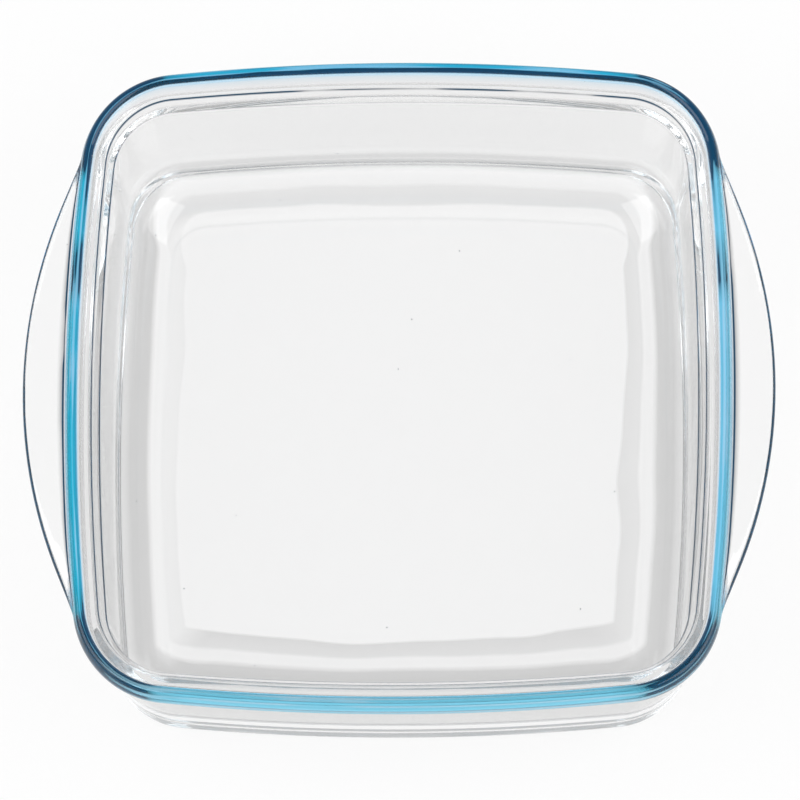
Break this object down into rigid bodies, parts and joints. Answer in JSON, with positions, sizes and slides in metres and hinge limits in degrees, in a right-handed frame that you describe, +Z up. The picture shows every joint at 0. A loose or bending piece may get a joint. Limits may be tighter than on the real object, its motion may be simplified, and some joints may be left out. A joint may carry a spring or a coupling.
{
  "type": "square glass baking dish",
  "caption": "Square clear glass baking dish with bowed sides, rounded corners, a thick blue-looking rolled rim and a wing handle at each side, for cooking and serving food.",
  "frame": {"origin": "on the table under the middle of the dish, at the level of the foot ring", "axes": "+X towards the right handle, +Y away from the viewer of the picture, +Z up"},
  "size_m": [0.2512, 0.233, 0.065],
  "materials": {
    "clear_glass": "clear pressed glass, fire polished",
    "rim_glass": "the same glass, blue where it is seen along its length"
  },
  "bodies": {
    "root": {"floor_panel": "clear_glass", "heel": "clear_glass", "side_wall": "clear_glass", "rim": "rim_glass", "left_handle": "clear_glass", "right_handle": "clear_glass"}
  },
  "joints": []
}
